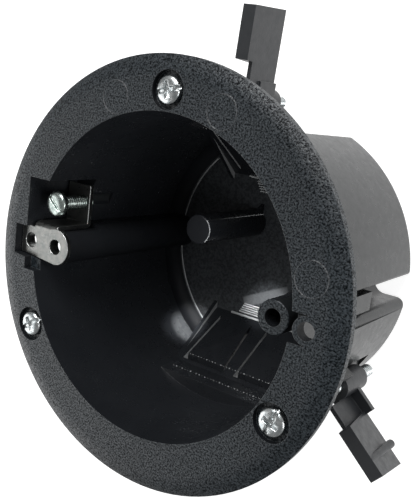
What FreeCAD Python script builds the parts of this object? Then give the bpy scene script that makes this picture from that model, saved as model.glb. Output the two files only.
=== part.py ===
import FreeCAD
import Part
import math
import os
from FreeCAD import Vector

# Round moulded electrical box for a finished ceiling, with swing-out clamps.
# Millimetres. The origin is the centre of the closed back face, +Z points out of the open front,
# and +X runs along the line of fixture screw holes towards the plastic screw boss.

# Moulded body
BODY_DEPTH = 63.5
MOUTH_R = 40.65
WALL_T = 3.0
FLOOR_T = 2.7
OUTER_DRAFT_DEG = 0.9
INNER_DRAFT_DEG = 0.6
FLOOR_FILLET_R = 4.0
REAR_EDGE_R = 1.0
FLANGE_W = 13.35
FLANGE_T = 3.0
FLANGE_BEVEL_W = 5.0
FLANGE_BEVEL_DROP = 1.3
FLANGE_BEVEL_MID_W = 2.75
FLANGE_BEVEL_MID_DROP = 0.42

# Sloped cable entries, one on the +Y side and one on the -Y side
ENTRY_HALF_W = 18.3
ENTRY_FOOT_Y = 23.2
ENTRY_FLAT_DEPTH = 4.6
ENTRY_SLANT_DEG = 37.3
ENTRY_FRONT_Z = 28.3
ENTRY_WALL = 2.4
ENTRY_TOP_WALL = 2.0
ENTRY_SIDE_WALL = 1.3
ENTRY_RECESS_IN = 0.2
ENTRY_FIN_PROUD = 2.0
ENTRY_FIN_TOP_Z = 17.0
FLAP_FOOT_Z = 5.0
FLAP_END_Z = 18.5
FLAP_FOOT_X = 14.3
FLAP_END_X = 16.3
FLAP_DIVIDER_W = 5.4
FLAP_DIVIDER_TAPER = 0.8
FLAP_SIDE_SLIT = 0.7
FLAP_END_SLIT = 1.5

# Fixture screw holes and the grooves that clear their screws
HOLE_SPAN_OUTER = 88.9
HOLE_SPAN_INNER = 69.85
FIXTURE_HOLE_R = 2.1
GROOVE_R = 3.5
GROOVE_OFFSET = 1.08
GROOVE_WALL = 1.6
GROOVE_LIP_LOW_R = 2.5
GROOVE_LIP_HIGH_R = 1.2
LUG_WALL = 1.2
BOSS_R = 4.1
BOSS_EDGE_R = 0.4
BOSS_RECESS = 2.2
BOSS_LENGTH = 36.3
BOSS_ROOT = 2.2
BOSS_FREE_L = 10.0
WEB_DROP = 4.0
GROOVE_TOP_WALL = 1.35
NOSE_W = 4.9
NOSE_GAP = 0.1

# Clamps
CLAMP_ANGLES = {"top": 90.0, "left": 210.0, "right": 330.0}
CLAMP_STANDOFF = 2.0
CLAMP_SHANK_R = 1.75
CLAMP_SCREW_L = 50.8
CLAMP_HEAD_R = 3.45
CLAMP_HEAD_H = 2.0
CLAMP_HEAD_EDGE_R = 0.9
CLAMP_TIP_CHAMFER = 0.7
COUNTERBORE_R = 4.7
COUNTERBORE_DEPTH = 1.5
RUN_CLEAR = 0.05
CHANNEL_CLEAR = 0.4
CHANNEL_PAST_TIP = 1.7
RIB_GAP = 0.1
RIB_T = 1.2
RIB_PAST_AXIS = 0.85
RIB_LENGTH = 31.5

# Clamp wing, along its own arm (u), across it (s, counter-clockwise) and back from its front face
WING_TIP_FRONT = 23.5
WING_TIP_BACK = 24.4
WING_TOE_FRONT = 9.8
WING_TOE_BACK = 8.5
WING_H = 14.8
WING_FLAT_S = 2.45
WING_FACE_FRONT_S = 1.4
WING_FACE_BACK_S = -1.0
WING_ROD_R = 1.1
WING_ROD_U = 18.9
WING_ROD_S = 0.35
WING_ROD_L = 14.4
WING_ROD_EDGE_R = 0.75
WING_ROD_WEB = 1.4
WING_NECK_T = 1.15
WING_NECK_DROP = 2.5
WING_NECK_BACK_T = 1.5
WING_NECK_BACK_S = 1.6
BARREL_R = 3.4
BARREL_TOP_DROP = 7.0
BARREL_L = 11.7
HUB_STEP_U = 5.1
HUB_STEP_S = 3.2
WING_BACK_FROM_FLANGE = {"top": 24.3, "left": 23.0, "right": 22.3}
WING_TURN_DEG = {"top": -2.0, "left": -5.0, "right": -11.3}

# Steel bracket at the -X side and its ground screw
SHEET_T = 1.2
TAB_SINK = 2.4
TAB_END_PAST_HOLE = 3.55
TAB_LOW_Y = 3.8
TAB_HIGH_Y = 4.0
TAB_NOSE_R = 4.9
TAB_HOLE_COLLAR_R = 3.0
TAB_HOLE_COLLAR_L = 2.0
STRAP_X0 = -43.2
STRAP_X1 = -34.8
STRAP_Y = 5.6
STRAP_DROP = 11.6
REAR_TAB_END_Y = 16.5
BEND_R = 0.2
POCKET_CLEAR = 0.3
POCKET_X = 44.0
POCKET_Y = 18.0
POCKET_DEPTH = 17.5
POCKET_WALL = 2.0
PAD_T = 2.6
COLLAR_CLEAR = 0.2
NOTCH_X0 = -43.9
NOTCH_X1 = -39.8
NOTCH_Y = -7.7
GROUND_X = -37.3
GROUND_Y = 11.5
GROUND_SHANK_R = 1.95
GROUND_HEAD_R = 3.5
GROUND_HEAD_H = 2.0
GROUND_HEAD_EDGE_R = 0.8
GROUND_TIP_CHAMFER = 0.6
GROUND_LIFT = 9.0
GROUND_PAST_TAB = 1.8
GROUND_RELIEF = 0.35
GROUND_SLOT_W = 1.0
GROUND_SLOT_D = 0.8
GROUND_SLOT_TURN_DEG = 45.0

# Post on the floor
POST_X = -8.7
POST_Y = 8.3
POST_R = 4.2
POST_H = 29.8
POST_EDGE_R = 0.5
GUSSET_T = 1.2
GUSSET_REACH = 6.2
GUSSET_H = 9.0
GUSSET_OFFSET = 2.2

# How far a cut runs past the face it opens, and how near two heights count as one
PAST = 1.0
SAME = 1e-6

# Sizes that follow from the ones above
OUTER_SLOPE = math.tan(math.radians(OUTER_DRAFT_DEG))
INNER_SLOPE = math.tan(math.radians(INNER_DRAFT_DEG))
OUTER_R_FRONT = MOUTH_R + WALL_T
OUTER_R_BACK = OUTER_R_FRONT - BODY_DEPTH * OUTER_SLOPE
FLANGE_R = MOUTH_R + FLANGE_W
FLANGE_BACK_Z = BODY_DEPTH - FLANGE_T
CLAMP_CIRCLE_R = OUTER_R_FRONT + CLAMP_STANDOFF
CHANNEL_R = BARREL_R + CHANNEL_CLEAR
HEAD_SEAT_Z = BODY_DEPTH - COUNTERBORE_DEPTH
SCREW_TIP_Z = HEAD_SEAT_Z - CLAMP_SCREW_L
CHANNEL_END_Z = SCREW_TIP_Z - CHANNEL_PAST_TIP
ENTRY_SLOPE = math.tan(math.radians(ENTRY_SLANT_DEG))
ENTRY_FLAT_Y = OUTER_R_BACK + ENTRY_RECESS_IN - ENTRY_FLAT_DEPTH
ENTRY_INNER_FOOT_Y = ENTRY_FOOT_Y - ENTRY_WALL / math.cos(math.radians(ENTRY_SLANT_DEG))
HOLE_X_OUTER = HOLE_SPAN_OUTER / 2
HOLE_X_INNER = HOLE_SPAN_INNER / 2
GROOVE_X = HOLE_X_INNER + GROOVE_OFFSET
COLUMN_R = GROOVE_R + GROOVE_WALL
BOSS_TOP_Z = BODY_DEPTH - BOSS_RECESS
BOSS_END_Z = BOSS_TOP_Z - BOSS_LENGTH
COLUMN_TOP_Z = BOSS_TOP_Z - BOSS_FREE_L
LUG_R = FIXTURE_HOLE_R + LUG_WALL
NOSE_X = HOLE_X_OUTER - FIXTURE_HOLE_R - NOSE_GAP
TAB_TOP_Z = BODY_DEPTH - TAB_SINK
TAB_SEAT_Z = TAB_TOP_Z - SHEET_T
TAB_END_X = HOLE_X_OUTER + TAB_END_PAST_HOLE
REAR_TAB_TOP_Z = TAB_TOP_Z - STRAP_DROP
REAR_TAB_BACK_Z = REAR_TAB_TOP_Z - SHEET_T
GROUND_HEAD_Z = REAR_TAB_TOP_Z + GROUND_LIFT
GROUND_TIP_Z = REAR_TAB_BACK_Z - GROUND_PAST_TAB


def cylinder(x, y, radius, z0, z1):
    return Part.makeCylinder(radius, z1 - z0, Vector(x, y, z0))


def block(x0, x1, y0, y1, z0, z1):
    return Part.makeBox(x1 - x0, y1 - y0, z1 - z0, Vector(x0, y0, z0))


def prism(points, z0, z1):
    """A plate with the given outline in X and Y."""
    corners = [Vector(x, y, z0) for x, y in points]
    face = Part.Face(Part.makePolygon(corners + corners[:1]))
    return face.extrude(Vector(0, 0, z1 - z0))


def cross_prism(points, x0, x1):
    """A solid with the given outline in Y and Z, running along X."""
    corners = [Vector(x0, y, z) for y, z in points]
    face = Part.Face(Part.makePolygon(corners + corners[:1]))
    return face.extrude(Vector(x1 - x0, 0, 0))


def upright_prism(points, y0, y1):
    """A solid with the given outline in X and Z, running along Y."""
    corners = [Vector(x, y0, z) for x, z in points]
    face = Part.Face(Part.makePolygon(corners + corners[:1]))
    return face.extrude(Vector(0, y1 - y0, 0))


def turned(edges):
    """A solid of revolution about Z from edges in the XZ plane that form a closed outline."""
    face = Part.Face(Part.Wire(Part.__sortEdges__(edges)))
    return face.revolve(Vector(0, 0, 0), Vector(0, 0, 1), 360)


def line(x0, z0, x1, z1):
    return Part.LineSegment(Vector(x0, 0, z0), Vector(x1, 0, z1)).toShape()


def arc(a, middle, b):
    points = [Vector(x, 0, z) for x, z in (a, middle, b)]
    return Part.Arc(*points).toShape()


def at_angle(shape, angle):
    """A copy of the shape, turned about the body's axis."""
    copy = shape.copy()
    copy.rotate(Vector(0, 0, 0), Vector(0, 0, 1), angle)
    return copy


def mirrored_y(shape):
    return shape.mirror(Vector(0, 0, 0), Vector(0, 1, 0))


def edges_at(shape, z):
    """The flat edges of the shape that lie at height z."""
    return [e for e in shape.Edges if abs(e.BoundBox.ZMin - z) < SAME and abs(e.BoundBox.ZMax - z) < SAME]


def outer_form():
    """The outside of the cup and its flange, with the drafted wall and the bevelled rim."""
    r_rear = OUTER_R_BACK + REAR_EDGE_R * OUTER_SLOPE
    r_under = OUTER_R_FRONT - FLANGE_T * OUTER_SLOPE
    r_bevel = FLANGE_R - FLANGE_BEVEL_W
    z_rim = BODY_DEPTH - FLANGE_BEVEL_DROP
    bend = REAR_EDGE_R * (1 - math.sqrt(0.5))
    edges = [
        line(0, 0, r_rear - REAR_EDGE_R, 0),
        arc((r_rear - REAR_EDGE_R, 0), (r_rear - bend, bend), (r_rear, REAR_EDGE_R)),
        line(r_rear, REAR_EDGE_R, r_under, FLANGE_BACK_Z),
        line(r_under, FLANGE_BACK_Z, FLANGE_R, FLANGE_BACK_Z),
        line(FLANGE_R, FLANGE_BACK_Z, FLANGE_R, z_rim),
        arc((FLANGE_R, z_rim),
            (r_bevel + FLANGE_BEVEL_MID_W, BODY_DEPTH - FLANGE_BEVEL_MID_DROP),
            (r_bevel, BODY_DEPTH)),
        line(r_bevel, BODY_DEPTH, 0, BODY_DEPTH),
        line(0, BODY_DEPTH, 0, 0),
    ]
    return turned(edges)


def cavity_form():
    """The round hollow with its drafted wall and the fillet at the floor."""
    top = BODY_DEPTH + PAST
    r_top = MOUTH_R + PAST * INNER_SLOPE
    z_fillet = FLOOR_T + FLOOR_FILLET_R
    r_fillet = MOUTH_R - (BODY_DEPTH - z_fillet) * INNER_SLOPE
    bend = FLOOR_FILLET_R * (1 - math.sqrt(0.5))
    edges = [
        line(0, FLOOR_T, r_fillet - FLOOR_FILLET_R, FLOOR_T),
        arc((r_fillet - FLOOR_FILLET_R, FLOOR_T), (r_fillet - bend, FLOOR_T + bend), (r_fillet, z_fillet)),
        line(r_fillet, z_fillet, r_top, top),
        line(r_top, top, 0, top),
        line(0, top, 0, FLOOR_T),
    ]
    return turned(edges)


def entry_recess():
    """The space outside the +Y cable entry: a slope from the back face, then a flat up to a front step."""
    out = OUTER_R_FRONT + PAST
    z_flat = (ENTRY_FLAT_Y - ENTRY_FOOT_Y) / ENTRY_SLOPE
    points = [
        (ENTRY_FOOT_Y - PAST * ENTRY_SLOPE, -PAST),
        (ENTRY_FLAT_Y, z_flat),
        (ENTRY_FLAT_Y, ENTRY_FRONT_Z),
        (out, ENTRY_FRONT_Z),
        (out, -PAST),
    ]
    return cross_prism(points, -ENTRY_HALF_W, ENTRY_HALF_W)


def entry_cover():
    """The +Y cable entry seen from inside: the same steps, one wall further in."""
    out = OUTER_R_FRONT + PAST
    foot = ENTRY_INNER_FOOT_Y
    flat = ENTRY_FLAT_Y - ENTRY_TOP_WALL
    points = [
        (foot - PAST * ENTRY_SLOPE, -PAST),
        (flat, (flat - foot) / ENTRY_SLOPE),
        (flat, ENTRY_FRONT_Z + ENTRY_TOP_WALL),
        (out, ENTRY_FRONT_Z + ENTRY_TOP_WALL),
        (out, -PAST),
    ]
    half = ENTRY_HALF_W + ENTRY_SIDE_WALL
    return cross_prism(points, -half, half)


def entry_fins():
    """The side walls of the +Y entry, which stand a little proud of its slope near the floor."""
    out = OUTER_R_FRONT + PAST
    foot = ENTRY_INNER_FOOT_Y + FLOOR_T * ENTRY_SLOPE - ENTRY_FIN_PROUD
    points = [
        (foot, 0),
        (foot, FLOOR_T),
        (ENTRY_INNER_FOOT_Y + ENTRY_FIN_TOP_Z * ENTRY_SLOPE, ENTRY_FIN_TOP_Z),
        (out, ENTRY_FIN_TOP_Z),
        (out, 0),
    ]
    one = cross_prism(points, ENTRY_HALF_W, ENTRY_HALF_W + ENTRY_SIDE_WALL)
    return one.fuse(one.mirror(Vector(0, 0, 0), Vector(1, 0, 0)))


def flap_slit():
    """The slit round one spring flap of the +Y entry: both long sides and the free end."""
    foot_in = FLAP_DIVIDER_W / 2 + FLAP_SIDE_SLIT
    end_in = foot_in - FLAP_DIVIDER_TAPER
    flap = [(foot_in, FLAP_FOOT_Z), (FLAP_FOOT_X, FLAP_FOOT_Z),
            (FLAP_END_X, FLAP_END_Z), (end_in, FLAP_END_Z)]
    gap = FLAP_SIDE_SLIT
    z_end = FLAP_END_Z + FLAP_END_SLIT
    hole = [(foot_in - gap, FLAP_FOOT_Z), (FLAP_FOOT_X + gap, FLAP_FOOT_Z),
            (FLAP_END_X + gap, z_end), (end_in - gap, z_end)]
    y0 = ENTRY_FOOT_Y - 2 * ENTRY_WALL
    y1 = ENTRY_FLAT_Y + PAST
    return upright_prism(hole, y0, y1).cut(upright_prism(flap, y0 - PAST, y1 + PAST))


def entry_slits():
    """Slits for the pair of flaps in the +Y entry."""
    one = flap_slit()
    return one.fuse(one.mirror(Vector(0, 0, 0), Vector(1, 0, 0)))


def groove_outline(x_end):
    """Outline of the U groove: full-round bottom, straight sides and a rounded lip at each side."""
    lip_x = math.sqrt(OUTER_R_BACK ** 2 - (GROOVE_R + GROOVE_LIP_LOW_R) ** 2)
    low, high = GROOVE_LIP_LOW_R, GROOVE_LIP_HIGH_R
    root = math.sqrt(0.5)

    def point(x, y):
        return Vector(x, y, 0)

    def seg(a, b):
        return Part.LineSegment(point(*a), point(*b)).toShape()

    def bow(a, middle, b):
        return Part.Arc(point(*a), point(*middle), point(*b)).toShape()

    low_mid = (lip_x - low + low * root, -GROOVE_R - low + low * root)
    high_mid = (lip_x - high + high * root, GROOVE_R + high - high * root)
    edges = [
        bow((GROOVE_X, GROOVE_R), (GROOVE_X - GROOVE_R, 0), (GROOVE_X, -GROOVE_R)),
        seg((GROOVE_X, -GROOVE_R), (lip_x - low, -GROOVE_R)),
        bow((lip_x - low, -GROOVE_R), low_mid, (lip_x, -GROOVE_R - low)),
        seg((lip_x, -GROOVE_R - low), (x_end, -GROOVE_R - low)),
        seg((x_end, -GROOVE_R - low), (x_end, GROOVE_R + high)),
        seg((x_end, GROOVE_R + high), (lip_x, GROOVE_R + high)),
        bow((lip_x, GROOVE_R + high), high_mid, (lip_x - high, GROOVE_R)),
        seg((lip_x - high, GROOVE_R), (GROOVE_X, GROOVE_R)),
    ]
    return Part.Face(Part.Wire(edges))


def groove(z_top):
    """The open groove at +X, from the back face up to z_top."""
    face = groove_outline(OUTER_R_FRONT + PAST)
    face.translate(Vector(0, 0, -PAST))
    return face.extrude(Vector(0, 0, z_top + PAST))


def screw_boss():
    """What stays uncut in the +X groove: the plastic round the inner hole, its nose and the closed top."""
    root = block(GROOVE_X - COLUMN_R, GROOVE_X + BOSS_ROOT, -COLUMN_R, COLUMN_R, BOSS_END_Z, BODY_DEPTH)
    nose = block(GROOVE_X, NOSE_X, -NOSE_W / 2, NOSE_W / 2, BOSS_END_Z, BODY_DEPTH)
    closed = block(GROOVE_X, MOUTH_R + GROOVE_TOP_WALL, -COLUMN_R, COLUMN_R,
                   COLUMN_TOP_Z - GROOVE_WALL, BODY_DEPTH)
    return root.fuse([nose, closed])


def screw_ring():
    """The free end of the +X screw boss, a round tube tied to the wall by a low web."""
    tube = cylinder(HOLE_X_INNER, 0, BOSS_R, COLUMN_TOP_Z - PAST, BOSS_TOP_Z)
    tube = tube.makeFillet(BOSS_EDGE_R, edges_at(tube, BOSS_TOP_Z))
    web = block(HOLE_X_INNER, OUTER_R_FRONT, -NOSE_W / 2, NOSE_W / 2,
                COLUMN_TOP_Z - PAST, BOSS_TOP_Z - WEB_DROP)
    return tube.fuse(web)


def flange_notch():
    """The gap in the flange between the mouth and the lug round the +X outer fixture hole."""
    gap = block(HOLE_X_INNER, HOLE_X_OUTER, -GROOVE_R, GROOVE_R, FLANGE_BACK_Z, BODY_DEPTH + PAST)
    return gap.cut([cylinder(HOLE_X_OUTER, 0, LUG_R, 0, BODY_DEPTH + 2 * PAST), screw_ring()])


def column(z_top):
    """The wall round the +X groove, seen from inside the box, up to z_top."""
    round_part = cylinder(GROOVE_X, 0, COLUMN_R, 0, z_top)
    back = block(GROOVE_X, OUTER_R_FRONT, -COLUMN_R, COLUMN_R, 0, z_top)
    return round_part.fuse(back)


def post():
    """The round post on the floor with its small gusset."""
    pin = cylinder(POST_X, POST_Y, POST_R, 0, FLOOR_T + POST_H)
    pin = pin.makeFillet(POST_EDGE_R, edges_at(pin, FLOOR_T + POST_H))
    reach = POST_Y + GUSSET_REACH
    points = [(POST_Y, 0), (reach, 0), (reach, FLOOR_T), (POST_Y, FLOOR_T + GUSSET_H)]
    x0 = POST_X + GUSSET_OFFSET - GUSSET_T / 2
    return pin.fuse(cross_prism(points, x0, x0 + GUSSET_T))


def clamp_rib(angle):
    """The rib beside a clamp screw that keeps the drawn-up wing from folding back."""
    s0 = CHANNEL_R + RIB_GAP
    inner = MOUTH_R + WALL_T / 2
    outer = CLAMP_CIRCLE_R + RIB_PAST_AXIS
    rib = block(inner, outer, s0, s0 + RIB_T, FLANGE_BACK_Z - RIB_LENGTH, FLANGE_BACK_Z)
    return at_angle(rib, angle)


def clamp_channel(angle):
    """The hollow in the outside of the wall that lets the barrel of a wing travel."""
    return at_angle(cylinder(CLAMP_CIRCLE_R, 0, CHANNEL_R, CHANNEL_END_Z, FLANGE_BACK_Z), angle)


def clamp_hole(angle):
    """The screw hole through the flange with its counterbore."""
    hole = cylinder(CLAMP_CIRCLE_R, 0, CLAMP_SHANK_R + RUN_CLEAR, FLANGE_BACK_Z - PAST, BODY_DEPTH)
    bore = cylinder(CLAMP_CIRCLE_R, 0, COUNTERBORE_R, HEAD_SEAT_Z, BODY_DEPTH + PAST)
    return at_angle(hole.fuse(bore), angle)


def bracket_housing():
    """The thicker wall round the pocket for the steel bracket, and the pad under its front tab."""
    x_out = POCKET_X + POCKET_WALL
    y0 = STRAP_Y - SHEET_T - POCKET_CLEAR - POCKET_WALL
    y1 = POCKET_Y + POCKET_WALL
    z0 = BODY_DEPTH - POCKET_DEPTH - POCKET_WALL
    wall = block(-x_out, STRAP_X1, y0, y1, z0, FLANGE_BACK_Z)
    pad = block(-TAB_END_X - POCKET_WALL, STRAP_X1, -TAB_LOW_Y - POCKET_WALL, y0 + POCKET_WALL,
                FLANGE_BACK_Z - PAD_T, FLANGE_BACK_Z)
    return wall.fuse(pad)


def bracket_space():
    """Everything cut away for the steel bracket and the ground screw."""
    top = BODY_DEPTH + PAST
    clear = POCKET_CLEAR
    outline = [(-TAB_END_X - clear, -TAB_LOW_Y - clear), (-HOLE_X_INNER, -TAB_NOSE_R - clear),
               (-HOLE_X_INNER, TAB_HIGH_Y + clear), (-TAB_END_X - clear, TAB_HIGH_Y + clear)]
    tab = prism(outline, TAB_SEAT_Z, top)
    pocket = block(-POCKET_X, 0, STRAP_Y - SHEET_T - clear, POCKET_Y, BODY_DEPTH - POCKET_DEPTH, top)
    notch = block(NOTCH_X0, NOTCH_X1, NOTCH_Y, 0, TAB_TOP_Z, top)
    collars = [cylinder(-x, 0, TAB_HOLE_COLLAR_R + COLLAR_CLEAR,
                        TAB_SEAT_Z - TAB_HOLE_COLLAR_L - COLLAR_CLEAR, top)
               for x in (HOLE_X_INNER, HOLE_X_OUTER)]
    screw_path = cylinder(GROUND_X, GROUND_Y, GROUND_SHANK_R + GROUND_RELIEF,
                          GROUND_TIP_Z - GROUND_LIFT - PAST, top)
    return tab.fuse([pocket, notch, screw_path] + collars)


def box_body():
    """The whole moulding."""
    solid = outer_form().fuse([bracket_housing()] + [clamp_rib(a) for a in CLAMP_ANGLES.values()])
    left_column = at_angle(column(TAB_SEAT_Z), 180)
    right_column = column(COLUMN_TOP_Z).fuse(screw_ring())
    kept = [right_column, left_column, post()]
    for part in (entry_cover(), entry_fins()):
        kept += [part, mirrored_y(part)]
    solid = solid.cut(cavity_form().cut(kept))
    left_groove = at_angle(groove(FLANGE_BACK_Z - PAD_T), 180)
    right_groove = groove(FLANGE_BACK_Z).cut(screw_boss())
    cuts = [entry_recess(), mirrored_y(entry_recess()), entry_slits(), mirrored_y(entry_slits())]
    cuts += [right_groove, left_groove, bracket_space()]
    cuts += [clamp_channel(a) for a in CLAMP_ANGLES.values()]
    cuts += [clamp_hole(a) for a in CLAMP_ANGLES.values()]
    top = BODY_DEPTH + PAST
    cuts.append(cylinder(HOLE_X_INNER, 0, FIXTURE_HOLE_R, BOSS_END_Z - PAST, top))
    cuts.append(cylinder(HOLE_X_OUTER, 0, FIXTURE_HOLE_R, FLANGE_BACK_Z - PAST, top))
    cuts.append(flange_notch())
    return solid.cut(cuts).removeSplitter()


def clamp_screw():
    """Pan-head screw on the +X side of the clamp circle."""
    shank = cylinder(CLAMP_CIRCLE_R, 0, CLAMP_SHANK_R, SCREW_TIP_Z, HEAD_SEAT_Z)
    shank = shank.makeChamfer(CLAMP_TIP_CHAMFER, edges_at(shank, SCREW_TIP_Z))
    head = cylinder(CLAMP_CIRCLE_R, 0, CLAMP_HEAD_R, HEAD_SEAT_Z, HEAD_SEAT_Z + CLAMP_HEAD_H)
    head = head.makeFillet(CLAMP_HEAD_EDGE_R, edges_at(head, HEAD_SEAT_Z + CLAMP_HEAD_H))
    return shank.fuse(head).removeSplitter()


def wing_toe():
    """The tapered plate that grips the back of the ceiling board."""
    front = [(WING_TOE_FRONT, -WING_FLAT_S), (WING_TIP_FRONT, -WING_FLAT_S),
             (WING_TIP_FRONT, WING_FACE_FRONT_S), (WING_TOE_FRONT, WING_FACE_FRONT_S)]
    back = [(WING_TOE_BACK, -WING_FLAT_S), (WING_TIP_BACK, -WING_FLAT_S),
            (WING_TIP_BACK, WING_FACE_BACK_S), (WING_TOE_BACK, WING_FACE_BACK_S)]
    wires = []
    for points, z in ((back, -WING_H), (front, 0)):
        corners = [Vector(u, s, z) for u, s in points]
        wires.append(Part.makePolygon(corners + corners[:1]))
    return Part.makeLoft(wires, True, True)


def wing_rod():
    """The round rib along the toe, joined to its face by a web."""
    rod = cylinder(WING_ROD_U, WING_ROD_S, WING_ROD_R, -WING_ROD_L, 0)
    rod = rod.makeFillet(WING_ROD_EDGE_R, edges_at(rod, -WING_ROD_L))
    web = block(WING_ROD_U - WING_ROD_WEB / 2, WING_ROD_U + WING_ROD_WEB / 2,
                -WING_FLAT_S + WING_NECK_T, WING_ROD_S, WING_ROD_R - WING_ROD_L, 0)
    return rod.fuse(web)


def wing_hub():
    """The threaded barrel with the thin neck that carries the toe."""
    barrel = cylinder(0, 0, BARREL_R, -BARREL_TOP_DROP - BARREL_L, -BARREL_TOP_DROP)
    side = block(0, WING_TOE_FRONT, -WING_FLAT_S, WING_NECK_T - WING_FLAT_S, -WING_H, -WING_NECK_DROP)
    shoulder = block(0, BARREL_R, -WING_FLAT_S, WING_NECK_T - WING_FLAT_S, -BARREL_TOP_DROP, 0)
    rear = block(0, WING_TOE_BACK + WING_NECK_T, -WING_FLAT_S, WING_NECK_BACK_S,
                 -WING_H, WING_NECK_BACK_T - WING_H)
    step = block(0, HUB_STEP_U, -HUB_STEP_S, WING_NECK_T - WING_FLAT_S, -WING_H, -BARREL_TOP_DROP)
    return barrel.fuse([side.cut(shoulder), rear, step])


def clamp_wing():
    """A whole wing about its own screw axis, with its front face at z = 0."""
    wing = wing_toe().fuse([wing_rod(), wing_hub()])
    bore = cylinder(0, 0, CLAMP_SHANK_R + RUN_CLEAR, -WING_H - BARREL_L, PAST)
    return wing.cut(bore).removeSplitter()


def placed_wing(name):
    """The wing at its rest place behind the flange."""
    wing = clamp_wing()
    wing.rotate(Vector(0, 0, 0), Vector(0, 0, 1), WING_TURN_DEG[name])
    wing.translate(Vector(CLAMP_CIRCLE_R, 0, FLANGE_BACK_Z - WING_BACK_FROM_FLANGE[name]))
    return at_angle(wing, CLAMP_ANGLES[name])


def ground_bracket():
    """The folded steel strap: front tab with two tapped holes, web, and rear tab under the ground screw."""
    outline = [(-TAB_END_X, -TAB_LOW_Y), (-HOLE_X_INNER, -TAB_NOSE_R), (-HOLE_X_INNER, TAB_HIGH_Y),
               (-TAB_END_X, TAB_HIGH_Y)]
    front = prism(outline, TAB_SEAT_Z, TAB_TOP_Z)
    nose = cylinder(-HOLE_X_INNER, 0, TAB_NOSE_R, TAB_SEAT_Z, TAB_TOP_Z)
    x0, x1 = STRAP_X0, STRAP_X1
    t = SHEET_T
    strap = [(0, TAB_SEAT_Z), (STRAP_Y - t, TAB_SEAT_Z), (STRAP_Y - t, REAR_TAB_BACK_Z),
             (REAR_TAB_END_Y, REAR_TAB_BACK_Z), (REAR_TAB_END_Y, REAR_TAB_TOP_Z), (STRAP_Y, REAR_TAB_TOP_Z),
             (STRAP_Y, TAB_TOP_Z), (0, TAB_TOP_Z)]
    bent = cross_prism(strap, x0, x1)
    corners = {(STRAP_Y - t, TAB_SEAT_Z): BEND_R, (STRAP_Y, TAB_TOP_Z): BEND_R + t,
               (STRAP_Y - t, REAR_TAB_BACK_Z): BEND_R + t, (STRAP_Y, REAR_TAB_TOP_Z): BEND_R}
    for (y, z), radius in corners.items():
        edges = [e for e in edges_at(bent, z)
                 if e.BoundBox.YLength < SAME and abs(e.BoundBox.YMin - y) < SAME]
        bent = bent.makeFillet(radius, edges)
    plate = front.fuse([nose, bent])
    for x in (HOLE_X_INNER, HOLE_X_OUTER):
        plate = plate.fuse(cylinder(-x, 0, TAB_HOLE_COLLAR_R, TAB_SEAT_Z - TAB_HOLE_COLLAR_L, TAB_SEAT_Z))
    cuts = [cylinder(-x, 0, FIXTURE_HOLE_R, TAB_SEAT_Z - TAB_HOLE_COLLAR_L - PAST, TAB_TOP_Z + PAST)
            for x in (HOLE_X_INNER, HOLE_X_OUTER)]
    cuts.append(cylinder(GROUND_X, GROUND_Y, GROUND_SHANK_R + RUN_CLEAR,
                         REAR_TAB_BACK_Z - PAST, REAR_TAB_TOP_Z + PAST))
    return plate.cut(cuts).removeSplitter()


def ground_screw():
    """Slotted screw in the rear tab, backed out so that a wire can go under its head."""
    shank = cylinder(GROUND_X, GROUND_Y, GROUND_SHANK_R, GROUND_TIP_Z, GROUND_HEAD_Z)
    shank = shank.makeChamfer(GROUND_TIP_CHAMFER, edges_at(shank, GROUND_TIP_Z))
    top = GROUND_HEAD_Z + GROUND_HEAD_H
    head = cylinder(GROUND_X, GROUND_Y, GROUND_HEAD_R, GROUND_HEAD_Z, top)
    head = head.makeFillet(GROUND_HEAD_EDGE_R, edges_at(head, top))
    slot = block(GROUND_X - GROUND_HEAD_R - PAST, GROUND_X + GROUND_HEAD_R + PAST,
                 GROUND_Y - GROUND_SLOT_W / 2, GROUND_Y + GROUND_SLOT_W / 2, top - GROUND_SLOT_D, top + PAST)
    slot.rotate(Vector(GROUND_X, GROUND_Y, 0), Vector(0, 0, 1), GROUND_SLOT_TURN_DEG)
    return shank.fuse(head).cut(slot).removeSplitter()


def main():
    os.makedirs("parts", exist_ok=True)
    nodes = {"box_body": box_body(), "ground_bracket": ground_bracket(), "ground_screw": ground_screw()}
    for name, angle in CLAMP_ANGLES.items():
        nodes["clamp_screw_" + name] = at_angle(clamp_screw(), angle)
        nodes["clamp_wing_" + name] = placed_wing(name)
    for name, shape in nodes.items():
        solid = shape.Solids[0] if len(shape.Solids) == 1 else shape
        print(name, "solids", len(shape.Solids), "valid", shape.isValid(), "volume", round(shape.Volume, 1))
        solid.exportStep("parts/" + name + ".step")


main()
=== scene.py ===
import math

import bpy
from mathutils import Matrix, Vector


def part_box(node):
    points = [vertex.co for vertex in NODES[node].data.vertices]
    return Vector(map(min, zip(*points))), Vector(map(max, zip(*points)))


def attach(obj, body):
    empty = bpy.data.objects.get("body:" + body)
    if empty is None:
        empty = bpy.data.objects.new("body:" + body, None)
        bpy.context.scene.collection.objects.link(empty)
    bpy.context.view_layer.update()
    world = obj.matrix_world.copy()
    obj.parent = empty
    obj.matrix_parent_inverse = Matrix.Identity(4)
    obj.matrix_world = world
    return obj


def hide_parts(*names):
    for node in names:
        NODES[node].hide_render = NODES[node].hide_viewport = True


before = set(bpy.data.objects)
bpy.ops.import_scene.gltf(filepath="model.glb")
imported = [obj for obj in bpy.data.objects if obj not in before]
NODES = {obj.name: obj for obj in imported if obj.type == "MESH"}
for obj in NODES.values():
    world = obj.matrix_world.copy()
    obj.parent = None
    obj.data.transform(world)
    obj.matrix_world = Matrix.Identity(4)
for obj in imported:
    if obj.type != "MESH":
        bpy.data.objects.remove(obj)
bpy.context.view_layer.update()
MM = 0.001

CLAMPS = ("top", "left", "right")

# The photograph's width and the focal length of the camera fitted to it, in pixels
PHOTO_WIDTH = 413.0
FOCAL_LENGTH = 750.0

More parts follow.
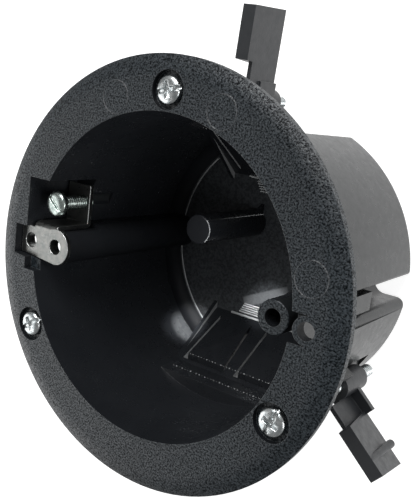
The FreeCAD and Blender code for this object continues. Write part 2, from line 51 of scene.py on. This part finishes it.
# Places on the moulding that the materials and added details use, in millimetres and degrees
FLOOR_Z = 2.7
FLANGE_Z = 60.4
FOOT_Y = 22.2
OUTER_HOLE_X = 44.45
PIN_CIRCLE_R = 45.3
PIN_MARK_R = 4.0
PIN_LINE_WIDTH = 0.2
PIN_ANGLES = (110.6, 69.4, 14.4)
TEETH_ROWS = ((34.1, 18.6), (36.0, 26.5))  # y and z of each row
TEETH_HALF_WIDTH = 15.5
TEETH = 30
# Fields where a pool of light is painted into the colour, where the beam lamps also shine
PAINTED_LIGHT_BAND = (-0.8, -14.1, 25.7, 8.7, 1.9)  # middle x and y, turn, half length, half width
PAINTED_LIGHT_PATCH = (-25.0, -30.0, 8.0)
POST = (-8.7, 8.3, 4.2, 32.5)  # middle x and y, radius, top
# Radius and span of the painted highlight line on the floor round the foot of the wall
LINE_R = 36.0
LINE_ANGLES = (134.0, 231.0)

# The dressed screws, in millimetres and degrees
THREAD_PITCH = 0.79
CLAMP_SHANK_R = 1.75
GROUND_SHANK_R = 1.95
HEAD_HEIGHT = 2.0
HEAD_GAP = 0.005  # how far a dressed head stays inside the plain one
HEAD_TURN = {"top": 15.0, "left": 35.0, "right": 70.0, "ground": -40.0}


# Node helpers

def new_material(name):
    mat = bpy.data.materials.new(name)
    mat.use_nodes = True
    tree = mat.node_tree
    tree.nodes.clear()
    out = tree.nodes.new("ShaderNodeOutputMaterial")
    bsdf = tree.nodes.new("ShaderNodeBsdfPrincipled")
    tree.links.new(bsdf.outputs["BSDF"], out.inputs["Surface"])
    return mat, tree, bsdf


def add(tree, kind, **props):
    node = tree.nodes.new(kind)
    for key, value in props.items():
        setattr(node, key, value)
    return node


def connect(tree, value, socket):
    """Link a node's output to the socket, or set a plain value on it."""
    if isinstance(value, bpy.types.NodeSocket):
        tree.links.new(value, socket)
    else:
        socket.default_value = value


def math_node(tree, op, a, b=None, clamp=False):
    node = add(tree, "ShaderNodeMath", operation=op, use_clamp=clamp)
    connect(tree, a, node.inputs[0])
    if b is not None:
        connect(tree, b, node.inputs[1])
    return node.outputs[0]


def mix_colour(tree, factor, first, second, blend="MIX"):
    node = add(tree, "ShaderNodeMix", data_type="RGBA", blend_type=blend)
    connect(tree, factor, node.inputs["Factor"])
    connect(tree, first, node.inputs[6])
    connect(tree, second, node.inputs[7])
    return node.outputs[2]


def noise(tree, vector, scale, detail=4.0, rough=0.55):
    node = add(tree, "ShaderNodeTexNoise")
    node.inputs["Scale"].default_value = scale
    node.inputs["Detail"].default_value = detail
    node.inputs["Roughness"].default_value = rough
    tree.links.new(vector, node.inputs["Vector"])
    return node.outputs["Fac"]


def ramp(tree, fac, stops):
    node = add(tree, "ShaderNodeValToRGB")
    tree.links.new(fac, node.inputs["Fac"])
    elements = node.color_ramp.elements
    while len(elements) < len(stops):
        elements.new(0.5)
    for element, (place, value) in zip(elements, stops):
        element.position = place
        element.color = (*value, 1.0)
    return node.outputs["Color"]


def grey(v):
    return (v, v, v)


def bump(tree, height, distance, normal=None):
    """Normals that follow a height, on top of other normals where they are given."""
    node = add(tree, "ShaderNodeBump")
    node.inputs["Strength"].default_value = 1.0
    node.inputs["Distance"].default_value = distance
    tree.links.new(height, node.inputs["Height"])
    if normal is not None:
        tree.links.new(normal, node.inputs["Normal"])
    return node.outputs["Normal"]


def object_coords(tree):
    return add(tree, "ShaderNodeTexCoord").outputs["Object"]


def soft_edges(tree, radius):
    """Normals that round the sharp edges, so that they catch a thin line of light."""
    node = add(tree, "ShaderNodeBevel", samples=6)
    node.inputs["Radius"].default_value = radius
    return node.outputs["Normal"]


def painted_edge_highlight(tree, colour, radius, light, amount):
    """The colour, turned lighter where the surface rounds a sharp edge: a painted highlight along
    the edges.
    """
    flat = add(tree, "ShaderNodeNewGeometry").outputs["Normal"]
    dot = add(tree, "ShaderNodeVectorMath", operation="DOT_PRODUCT")
    tree.links.new(flat, dot.inputs[0])
    tree.links.new(soft_edges(tree, radius), dot.inputs[1])
    turned = math_node(tree, "SUBTRACT", 1.0, dot.outputs["Value"])
    mask = math_node(tree, "MULTIPLY", turned, 5.0, clamp=True)
    return mix_colour(tree, math_node(tree, "MULTIPLY", mask, amount), colour, (*light, 1.0))


def offsets(tree, vector, x, y):
    """How far a place is from a point given in millimetres, along X and along Y."""
    split = add(tree, "ShaderNodeSeparateXYZ")
    tree.links.new(vector, split.inputs[0])
    return (math_node(tree, "SUBTRACT", split.outputs["X"], x * MM),
            math_node(tree, "SUBTRACT", split.outputs["Y"], y * MM))


def pin_marks(tree, vector):
    """1 on the thin rings that the ejector pins leave on the flange, 0 elsewhere."""
    total = None
    for angle in PIN_ANGLES:
        a = math.radians(angle)
        dx, dy = offsets(tree, vector, PIN_CIRCLE_R * math.cos(a), PIN_CIRCLE_R * math.sin(a))
        dx = math_node(tree, "MULTIPLY", dx, dx)
        dy = math_node(tree, "MULTIPLY", dy, dy)
        far = math_node(tree, "SQRT", math_node(tree, "ADD", dx, dy))
        off = math_node(tree, "ABSOLUTE", math_node(tree, "SUBTRACT", far, PIN_MARK_R * MM))
        faded = math_node(tree, "DIVIDE", off, PIN_LINE_WIDTH * MM)
        line = math_node(tree, "SUBTRACT", 1.0, faded, clamp=True)
        total = line if total is None else math_node(tree, "MAXIMUM", total, line)
    return total


def painted_light_band(tree, vector):
    """1 on the field across the floor where a pool of light is painted into the colour, 0
    elsewhere.
    """
    x, y, turn, half_length, half_width = PAINTED_LIGHT_BAND
    cos, sin = math.cos(math.radians(turn)), math.sin(math.radians(turn))
    dx, dy = offsets(tree, vector, x, y)
    sides = []
    for ax, ay, half in ((cos, sin, half_length), (-sin, cos, half_width)):
        along = math_node(tree, "MULTIPLY", dx, ax)
        along = math_node(tree, "ADD", along, math_node(tree, "MULTIPLY", dy, ay))
        left = math_node(tree, "SUBTRACT", half * MM, math_node(tree, "ABSOLUTE", along))
        sides.append(math_node(tree, "DIVIDE", left, 0.5 * MM, clamp=True))
    return math_node(tree, "MINIMUM", sides[0], sides[1])


def painted_light_patch(tree, vector):
    """1 on the field low on the wall where a pool of light is painted into the colour, fading to 0
    round it.
    """
    near = add(tree, "ShaderNodeVectorMath", operation="DISTANCE")
    near.inputs[1].default_value = tuple(v * MM for v in PAINTED_LIGHT_PATCH)
    tree.links.new(vector, near.inputs[0])
    left = math_node(tree, "SUBTRACT", 7.0 * MM, near.outputs["Value"])
    return math_node(tree, "DIVIDE", left, 3.0 * MM, clamp=True)


# Materials

# Ejector-pin rings: their lighter line colour is a painted highlight on the raised ring
RING_HIGHLIGHT_COLOUR = (0.09, 0.095, 0.1, 1.0)
RING_HIGHLIGHT_SHARE = 0.55
RING_HEIGHT = 0.00013
# Lighter colour of the painted highlight along the plastic's edges
RIM_HIGHLIGHT_COLOUR = (0.08, 0.086, 0.09)
# Lighter colour of the painted pools of light on the floor and the wall
PAINTED_LIGHT_COLOUR = (0.085, 0.09, 0.095, 1.0)
# Lighter colour of the painted highlight along the bracket's edges
EDGE_HIGHLIGHT_COLOUR = (0.85, 0.87, 0.86)


def plastic(name, dark, light, rough_lo, rough_hi, grain_scale, grain, wave=0.0, edge=0.0,
            marks=False, speckle=0.0, gloss=0.5, painted_light=None, rim_highlight=0.0):
    """Moulded black plastic: fine grain, slight colour and gloss variation.

    grain and wave are the heights of the fine and the broad relief, and edge the radius of
    softened edges, in metres. speckle is the grain's share in colour and gloss, matt makes the
    mask of a painted pool of light in a lighter colour, and rim says how far the edges turn
    lighter as a painted highlight.
    """
    mat, tree, bsdf = new_material(name)
    co = object_coords(tree)
    broad = noise(tree, co, 38.0, 3.0)
    fine = noise(tree, co, grain_scale, 2.0, 0.6)
    colour = ramp(tree, broad, [(0.3, dark), (0.7, light)])
    if speckle > 0:
        low, high = 1.0 - speckle, 1.0 + speckle
        dots = ramp(tree, fine, [(0.36, grey(low)), (0.64, grey(high))])
        colour = mix_colour(tree, 1.0, colour, dots, "MULTIPLY")
        shine = ramp(tree, fine, [(0.38, grey(gloss * low)), (0.62, grey(gloss * high))])
        tree.links.new(shine, bsdf.inputs["Specular IOR Level"])
    else:
        bsdf.inputs["Specular IOR Level"].default_value = gloss
    # Ejector-pin rings: a real raised line in the normals, and a painted highlight in their
    # lighter colour
    if marks:
        ring = math_node(tree, "MULTIPLY", pin_marks(tree, co), RING_HIGHLIGHT_SHARE)
        colour = mix_colour(tree, ring, colour, RING_HIGHLIGHT_COLOUR)
    # Painted highlight: the colour turns lighter along the rounded edges
    if rim_highlight > 0:
        colour = painted_edge_highlight(tree, colour, edge, RIM_HIGHLIGHT_COLOUR, rim_highlight)
    # Painted pool of light: the colour turns lighter inside the field's mask
    if painted_light is not None:
        colour = mix_colour(tree, painted_light(tree, co), colour, PAINTED_LIGHT_COLOUR)
    tree.links.new(colour, bsdf.inputs["Base Color"])
    spots = noise(tree, co, grain_scale * 0.35, 3.0)
    rough = ramp(tree, spots, [(0.3, grey(rough_lo)), (0.7, grey(rough_hi))])
    tree.links.new(rough, bsdf.inputs["Roughness"])
    normal = soft_edges(tree, edge) if edge > 0 else None
    if wave > 0:
        normal = bump(tree, noise(tree, co, 26.0, 2.0), wave, normal)
    if marks:
        normal = bump(tree, pin_marks(tree, co), RING_HEIGHT, normal)
    tree.links.new(bump(tree, fine, grain, normal), bsdf.inputs["Normal"])
    return mat


def metal(name, bright, dull, rough_lo, rough_hi, grain_scale, grain, edge=0.0):
    """Zinc-plated steel: fine mottle in colour and roughness, with a painted highlight along the
    edges where edge is given.
    """
    mat, tree, bsdf = new_material(name)
    co = object_coords(tree)
    mottled = noise(tree, co, grain_scale * 0.4, 4.0)
    colour = ramp(tree, mottled, [(0.35, dull), (0.65, bright)])
    # Painted highlight: the colour turns lighter along the rounded edges
    if edge > 0:
        colour = painted_edge_highlight(tree, colour, edge, EDGE_HIGHLIGHT_COLOUR, 1.0)
    tree.links.new(colour, bsdf.inputs["Base Color"])
    bsdf.inputs["Metallic"].default_value = 1.0
    fine = noise(tree, co, grain_scale, 3.0)
    rough = ramp(tree, fine, [(0.3, grey(rough_lo)), (0.7, grey(rough_hi))])
    tree.links.new(rough, bsdf.inputs["Roughness"])
    normal = soft_edges(tree, edge) if edge > 0 else None
    tree.links.new(bump(tree, fine, grain, normal), bsdf.inputs["Normal"])
    return mat


MAT_FLANGE = plastic("flange_plastic", (0.0075, 0.0112, 0.0142), (0.012, 0.0168, 0.0208),
                     0.38, 0.54, 2300.0, 0.00009, marks=True, speckle=0.8, gloss=0.42,
                     edge=0.0002, rim_highlight=0.9)
MAT_OUTER = plastic("outer_plastic", (0.012, 0.0135, 0.0145), (0.017, 0.019, 0.02),
                    0.26, 0.36, 1500.0, 0.000012, wave=0.0001, gloss=0.36)
MAT_INNER = plastic("inner_plastic", (0.008, 0.009, 0.0108), (0.0125, 0.0138, 0.016),
                    0.24, 0.34, 900.0, 0.00002, wave=0.00008, edge=0.0002, gloss=0.4,
                    painted_light=painted_light_patch)
MAT_FLOOR = plastic("floor_plastic", (0.018, 0.02, 0.0225), (0.026, 0.029, 0.032),
                    0.45, 0.6, 1300.0, 0.00008, speckle=0.3, painted_light=painted_light_band)
# Dull, low-gloss plastic whose darker colour is painted shade, for the foot of the wall, the
# post's end and ledges, the column behind the bracket and the outer fixture holes
MAT_DULL_PAINTED_SHADE = plastic("dull_painted_shade_plastic", (0.006, 0.0066, 0.008), (0.01, 0.0112, 0.013),
                     0.5, 0.65, 1300.0, 0.00005, gloss=0.15)
# Bright plastic that paints highlight lines and glints: the slits' cut sides and the added beads
# and teeth
MAT_PAINTED_HIGHLIGHT = plastic("painted_highlight_plastic", (0.24, 0.25, 0.255), (0.34, 0.35, 0.355),
                   0.3, 0.45, 1500.0, 0.00002)
MAT_WING = plastic("clamp_plastic", (0.014, 0.0155, 0.018), (0.02, 0.022, 0.025),
                   0.36, 0.5, 1500.0, 0.00003, edge=0.0002, rim_highlight=0.6)
MAT_SCREW = metal("screw_zinc", (0.66, 0.68, 0.68), (0.42, 0.46, 0.47),
                  0.2, 0.38, 2500.0, 0.00003)
MAT_TAB = metal("bracket_zinc", (0.25, 0.25, 0.24), (0.19, 0.2, 0.195),
                0.26, 0.4, 1600.0, 0.00001, edge=0.0003)
MAT_GROUND = metal("ground_zinc", (0.5, 0.56, 0.53), (0.3, 0.36, 0.34),
                   0.2, 0.36, 1600.0, 0.00001)


def set_materials(obj, mats, choose=None):
    """Give a CAD node its materials, picked for each face by its place."""
    obj.data.materials.clear()
    for mat in mats:
        obj.data.materials.append(mat)
    for poly in obj.data.polygons:
        poly.material_index = choose(poly) if choose else 0


def body_zone(poly):
    """0 flange, 1 outside, 2 inside, 3 floor, 4 the cut sides of the cable flaps (painted
    highlight), 5 dull plastic (painted shade).

    The dull plastic is at the foot of the wall, on the post's end and the ledges, on the column
    behind the bracket, and in the outer fixture holes; it is low in gloss, and its darker colour
    is painted shade. The limits are in millimetres, read off the moulding.
    """
    c = poly.center / MM
    n = poly.normal
    r = math.hypot(c.x, c.y)
    if c.z > FLANGE_Z and r > 30.0 and (n.z > 0.5 or r > 53.5):
        return 0
    if c.z < FLOOR_Z + 0.05 and n.z > 0.9 and r < 36.5:
        return 3
    # Zone 5 below: darker dull plastic as painted shade
    if FLOOR_Z < c.z < 8.0 and 33.0 < r < 41.0 and n.z > 0.02:
        return 5
    if n.z > 0.9 and FLOOR_Z + 0.05 < c.z < 59.0 and r < 36.0:
        return 5
    if c.x < -26.0 and abs(c.y) < 9.0 and r < 36.8 and c.z < 58.0:
        return 5
    if math.hypot(abs(c.x) - OUTER_HOLE_X, c.y) < 2.6 and c.z > 55.0:
        return 5
    # The slits' cut sides get the bright plastic: a painted highlight of light coming through the
    # slits
    in_slit = 20.0 < abs(c.y) < 40.0 and 4.9 < c.z < 20.1
    if in_slit and n.x > 0.9 and (-18.5 < c.x < -14.4 or 1.5 < c.x < 3.0):
        return 4
    if c.x < -33.0 and abs(c.y) < 20.0 and c.z > 44.0 and r < 50.5 and n.z > -0.5:
        return 2
    if c.z > FLANGE_Z:
        return 2
    radial = (n.x * c.x + n.y * c.y) / max(r, 1e-6)
    if r < 41.0 and c.z > FLOOR_Z - 0.1 and (radial < 0.2 or r < 35.0):
        return 2
    return 1


set_materials(NODES["box_body"],
              [MAT_FLANGE, MAT_OUTER, MAT_INNER, MAT_FLOOR, MAT_PAINTED_HIGHLIGHT, MAT_DULL_PAINTED_SHADE], body_zone)
set_materials(NODES["ground_bracket"], [MAT_TAB])
set_materials(NODES["ground_screw"], [MAT_GROUND])
for clamp in CLAMPS:
    set_materials(NODES["clamp_wing_" + clamp], [MAT_WING])
    set_materials(NODES["clamp_screw_" + clamp], [MAT_SCREW])


# Added pieces

def new_object(name, data):
    obj = bpy.data.objects.new(name, data)
    bpy.context.scene.collection.objects.link(obj)
    return obj


def mesh_object(name, verts, faces, mat, smooth=True):
    """A new mesh from points in millimetres."""
    mesh = bpy.data.meshes.new(name)
    mesh.from_pydata([(x * MM, y * MM, z * MM) for x, y, z in verts], [], faces)
    mesh.materials.append(mat)
    mesh.update()
    for poly in mesh.polygons:
        poly.use_smooth = smooth
    return new_object(name, mesh)


def grid_faces(rows, cols):
    """Quads between rows of points that go round."""
    faces = []
    for i in range(rows - 1):
        for j in range(cols):
            k = (j + 1) % cols
            faces.append((i * cols + j, i * cols + k, (i + 1) * cols + k, (i + 1) * cols + j))
    return faces


def rise(value, edge, soft):
    """1 well below the edge, 0 well above it, with a smooth step between."""
    t = min(1.0, max(0.0, (edge + soft - value) / (2 * soft)))
    return t * t * (3 - 2 * t)


def driver_recess(x, y, turn, slot_only):
    """Depth of the driver recess at a point of the head, in millimetres."""
    a = math.radians(turn)
    u = x * math.cos(a) + y * math.sin(a)
    v = -x * math.sin(a) + y * math.cos(a)
    depth = 0.75 * rise(abs(v), 0.45, 0.12)
    if slot_only:
        return depth
    for along, across in ((u, v), (v, u)):
        if abs(along) < 2.1:
            arm = 1.15 * (1 - abs(along) / 2.1) ** 0.5
            depth = max(depth, arm * rise(abs(across), 0.55, 0.14))
    return depth


def threaded_screw(name, node, shank_r, turn, mat, slot_only=False):
    """A pan-head machine screw with a helical thread and a driver recess, in a node's place."""
    lo, hi = box_of(node)
    cx, cy = (lo.x + hi.x) / 2, (lo.y + hi.y) / 2
    tip_z, seat_z = lo.z, hi.z - HEAD_HEIGHT
    head_r, head_h = (hi.x - lo.x) / 2 - HEAD_GAP, HEAD_HEIGHT - HEAD_GAP
    pitch = THREAD_PITCH
    cols = 30
    verts, faces = [], []
    steps = int((seat_z - tip_z) / (pitch / 6))
    for i in range(steps + 1):
        z = tip_z + (seat_z - tip_z) * i / steps
        limit = shank_r - max(0.0, 0.7 - (z - tip_z))
        for j in range(cols):
            a = 2 * math.pi * j / cols
            phase = (z / pitch - j / cols) % 1.0
            root = 1 - abs(2 * phase - 1)
            r = min(limit, shank_r - 0.42 * pitch * root)
            verts.append((cx + r * math.cos(a), cy + r * math.sin(a), z))
    faces += grid_faces(steps + 1, cols)
    faces.append(tuple(range(cols))[::-1])
    thread = mesh_object(name + "_thread", verts, faces, mat)

    cols, verts, faces = 96, [], []
    base = 0.42 * head_h
    profile = [(shank_r * 0.7, 0.0), (head_r - 0.15, 0.0), (head_r, 0.12), (head_r, base)]
    top_rows = 40
    for i in range(1, top_rows + 1):
        rho = head_r * (1 - i / top_rows) ** 0.8 * 0.9995
        profile.append((rho, base + (head_h - base) * (1 - (rho / head_r) ** 4) ** 0.5))
    for k, (rho, h) in enumerate(profile):
        for j in range(cols):
            a = 2 * math.pi * j / cols
            x, y = rho * math.cos(a), rho * math.sin(a)
            sink = driver_recess(x, y, turn, slot_only) if k > 3 else 0.0
            verts.append((cx + x, cy + y, seat_z + max(h - sink, min(h, 0.25))))
    faces += grid_faces(len(profile), cols)
    head = mesh_object(name + "_head", verts, faces, mat)
    return thread, head


def strip(name, path, radius, sides=8):
    """A thin round bead along a path of points, in the bright plastic that paints a highlight
    line.
    """
    verts = []
    for i, point in enumerate(path):
        p = Vector(point)
        q = Vector(path[min(i + 1, len(path) - 1)])
        o = Vector(path[max(i - 1, 0)])
        along = (q - o).normalized()
        side = along.cross(Vector((0, 0, 1) if abs(along.z) < 0.9 else (1, 0, 0))).normalized()
        up = side.cross(along)
        for j in range(sides):
            a = 2 * math.pi * j / sides
            verts.append(tuple(p + radius * (math.cos(a) * side + math.sin(a) * up)))
    faces = grid_faces(len(path), sides)
    faces.append(tuple(range(sides)))
    last = (len(path) - 1) * sides
    faces.append(tuple(range(last, last + sides))[::-1])
    return mesh_object(name, verts, faces, MAT_PAINTED_HIGHLIGHT)


def joined(name, objs):
    """One object from several."""
    bpy.ops.object.select_all(action="DESELECT")
    for obj in objs:
        obj.select_set(True)
    bpy.context.view_layer.objects.active = objs[0]
    bpy.ops.object.join()
    objs[0].name = name
    objs[0].data.name = name
    return objs[0]


def box_of(node):
    """Lowest and highest corner of a CAD node, in millimetres."""
    lo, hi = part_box(node)
    return Vector(lo) / MM, Vector(hi) / MM


for clamp in CLAMPS:
    node = "clamp_screw_" + clamp
    screw = joined("dressed_screw_" + clamp, threaded_screw(
        "screw_" + clamp, node, CLAMP_SHANK_R, HEAD_TURN[clamp], MAT_SCREW))
    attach(screw, "screw_" + clamp)
    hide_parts(node)

ground = joined("dressed_ground_screw", threaded_screw(
    "ground", "ground_screw", GROUND_SHANK_R, HEAD_TURN["ground"], MAT_GROUND, slot_only=True))
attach(ground, "ground_screw")
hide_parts("ground_screw")


def floor_highlight_beads():
    """Bright beads at the foot of the cable entries and for the fine ribs in front of them:
    painted highlight lines.
    """
    made = []
    for side in (-1, 1):
        path = [(x, side * FOOT_Y, FLOOR_Z + 0.1) for x in (-12.4, 12.4)]
        made.append(strip("foot", path, 0.38))
        for k in range(5):
            y = side * (FOOT_Y - 1.1 - 0.72 * k)
            path = [(x, y, FLOOR_Z) for x in (-9.6 + 0.4 * k, 10.0)]
            made.append(strip("rib", path, 0.24))
    return joined("floor_rib_highlights", made)


def flap_teeth():
    """Two rows of small grip teeth across the ends of the cable flaps, in bright plastic that
    paints glints on them.
    """
    corners = ((1, 0, 0), (0, 1, 0), (-1, 0, 0), (0, -1, 0), (0, 0, 1), (0, 0, -1))
    verts, faces = [], []
    for side in (-1, 1):
        for y, z in TEETH_ROWS:
            for k in range(TEETH):
                x = TEETH_HALF_WIDTH * (2 * k / (TEETH - 1) - 1)
                size = 0.2 + 0.1 * math.sin(2.4 * k)
                start = len(verts)
                for dx, dy, dz in corners:
                    verts.append((x + dx * size, side * y + dy * size, z + dz * size))
                for i in range(4):
                    j = (i + 1) % 4
                    faces.append((start + i, start + j, start + 4))
                    faces.append((start + j, start + i, start + 5))
    return mesh_object("flap_teeth", verts, faces, MAT_PAINTED_HIGHLIGHT, smooth=False)


def floor_highlight_line():
    """A painted highlight line on the floor round the foot of the wall, made as a thin bright
    bead.
    """
    first, last = LINE_ANGLES
    path = []
    for i in range(61):
        a = math.radians(first + (last - first) * i / 60)
        path.append((LINE_R * math.cos(a), LINE_R * math.sin(a), FLOOR_Z + 0.02))
    return strip("floor_highlight_line", path, 0.22)


def post_highlight_lines():
    """Painted highlight lines along the post and round one side of its end, made as thin bright
    beads.
    """
    x, y, r, top = POST
    a = math.radians(47.0)
    side = [(x + r * math.cos(a), y + r * math.sin(a), z) for z in (FLOOR_Z, top - 0.6)]
    rim_highlight = []
    for i in range(25):
        a = math.radians(-50.0 + 100.0 * i / 24)
        rim_highlight.append((x + (r - 0.12) * math.cos(a), y + (r - 0.12) * math.sin(a), top - 0.12))
    return joined("post_highlight_lines", [strip("side", side, 0.16), strip("rim_highlight", rim_highlight, 0.13)])


# The bright beads, line and teeth paint highlight lines and glints
for piece in (floor_highlight_beads(), floor_highlight_line(), flap_teeth(), post_highlight_lines()):
    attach(piece, "box")


# Stage, camera and light

def make_floor():
    """A pale floor that keeps the shadow and looks white to the camera and in reflections."""
    mesh = bpy.data.meshes.new("floor")
    half = 4.0
    mesh.from_pydata([(-half, -half, 0), (half, -half, 0), (half, half, 0), (-half, half, 0)],
                     [], [(0, 1, 2, 3)])
    obj = new_object("floor", mesh)
    obj.location.z = -0.0002
    mat = bpy.data.materials.new("floor_white")
    mat.use_nodes = True
    tree = mat.node_tree
    tree.nodes.clear()
    out = tree.nodes.new("ShaderNodeOutputMaterial")
    diffuse = tree.nodes.new("ShaderNodeBsdfDiffuse")
    diffuse.inputs["Color"].default_value = (0.5, 0.5, 0.5, 1)
    glow = tree.nodes.new("ShaderNodeEmission")
    glow.inputs["Color"].default_value = (1, 1, 1, 1)
    path = tree.nodes.new("ShaderNodeLightPath")
    seen = math_node(tree, "MAXIMUM", path.outputs["Is Camera Ray"], path.outputs["Is Glossy Ray"])
    seen = math_node(tree, "MAXIMUM", seen, path.outputs["Is Transmission Ray"])
    strength = math_node(tree, "MULTIPLY", seen, 0.87)
    tree.links.new(strength, glow.inputs["Strength"])
    both = tree.nodes.new("ShaderNodeAddShader")
    tree.links.new(diffuse.outputs[0], both.inputs[0])
    tree.links.new(glow.outputs[0], both.inputs[1])
    tree.links.new(both.outputs[0], out.inputs["Surface"])
    mesh.materials.append(mat)


def make_camera():
    """The photograph's viewpoint, as fitted to it."""
    cam = bpy.data.cameras.new("camera")
    cam.sensor_fit = "HORIZONTAL"
    cam.sensor_width = 36.0
    cam.lens = FOCAL_LENGTH / PHOTO_WIDTH * cam.sensor_width
    cam.clip_start = 0.005
    obj = new_object("camera", cam)
    turn = Matrix(((0.80076713, -0.22374672, 0.55561624),
                   (0.12476589, 0.9695711, 0.21063087),
                   (-0.58583741, -0.09934433, 0.80431662)))
    place = Vector((0.11166473, 0.04736667, 0.20113104))
    obj.matrix_world = Matrix.Translation(place) @ turn.to_4x4()
    bpy.context.scene.camera = obj


def area_light(name, place, target, size, power):
    """A soft studio lamp, with its place, target and size in metres."""
    light = bpy.data.lights.new(name, "AREA")
    light.shape = "RECTANGLE"
    light.size, light.size_y = size
    light.energy = power
    obj = new_object(name, light)
    obj.location = place
    direction = Vector(target) - Vector(place)
    obj.rotation_euler = direction.to_track_quat("-Z", "Y").to_euler()


def beam(name, target, azimuth, polar, distance, radius, power, soft):
    """A narrow spot lamp inside the box that shines on one part of it.

    target and radius are in millimetres, azimuth and polar in degrees, distance in metres.
    """
    light = bpy.data.lights.new(name, "SPOT")
    light.energy = power
    light.spot_size = 2 * math.atan(radius * MM / distance)
    light.spot_blend = soft
    light.shadow_soft_size = 0.001
    obj = new_object(name, light)
    a, p = math.radians(azimuth), math.radians(polar)
    way = Vector((math.sin(p) * math.cos(a), math.sin(p) * math.sin(a), math.cos(p)))
    obj.location = Vector(target) * MM + way * distance
    obj.rotation_euler = (-way).to_track_quat("-Z", "Y").to_euler()


def fill(name, place, power, size):
    """A weak soft lamp that lifts the shade inside the box and isn't mirrored in it.

    place is in millimetres, size in metres.
    """
    light = bpy.data.lights.new(name, "POINT")
    light.energy = power
    light.shadow_soft_size = size
    obj = new_object(name, light)
    obj.location = Vector(place) * MM
    obj.visible_glossy = False


def make_world():
    """Soft light from all sides, white where the camera sees it."""
    world = bpy.data.worlds.new("studio")
    bpy.context.scene.world = world
    world.use_nodes = True
    tree = world.node_tree
    tree.nodes.clear()
    out = tree.nodes.new("ShaderNodeOutputWorld")
    back = tree.nodes.new("ShaderNodeBackground")
    back.inputs["Color"].default_value = (1, 1, 1, 1)
    path = tree.nodes.new("ShaderNodeLightPath")
    seen = path.outputs["Is Camera Ray"]
    seen = math_node(tree, "MAXIMUM", seen, path.outputs["Is Transmission Ray"])
    strength = math_node(tree, "ADD", math_node(tree, "MULTIPLY", seen, 0.75), 0.25)
    tree.links.new(strength, back.inputs["Strength"])
    tree.links.new(back.outputs[0], out.inputs["Surface"])


make_floor()
make_camera()
make_world()
fill("inside_fill", (9.0, 8.0, 52.0), 0.026, 0.006)
area_light("key", (0.05, 0.62, 0.55), (0, 0, 0.03), (0.5, 0.5), 6.4)
area_light("side", (0.7, -0.1, 0.12), (0.02, 0, 0.03), (0.3, 0.5), 2.8)
area_light("left", (-0.75, -0.35, 0.45), (0, 0, 0.06), (0.85, 0.85), 4.2)
beam("floor_beam", (0.0, -17.0, FLOOR_Z), 50.0, 36.0, 0.056, 8.5, 0.25, 0.9)
beam("wall_beam", PAINTED_LIGHT_PATCH, 60.0, 33.0, 0.05, 9.0, 0.3, 0.9)

bpy.context.scene.view_settings.view_transform = "Standard"
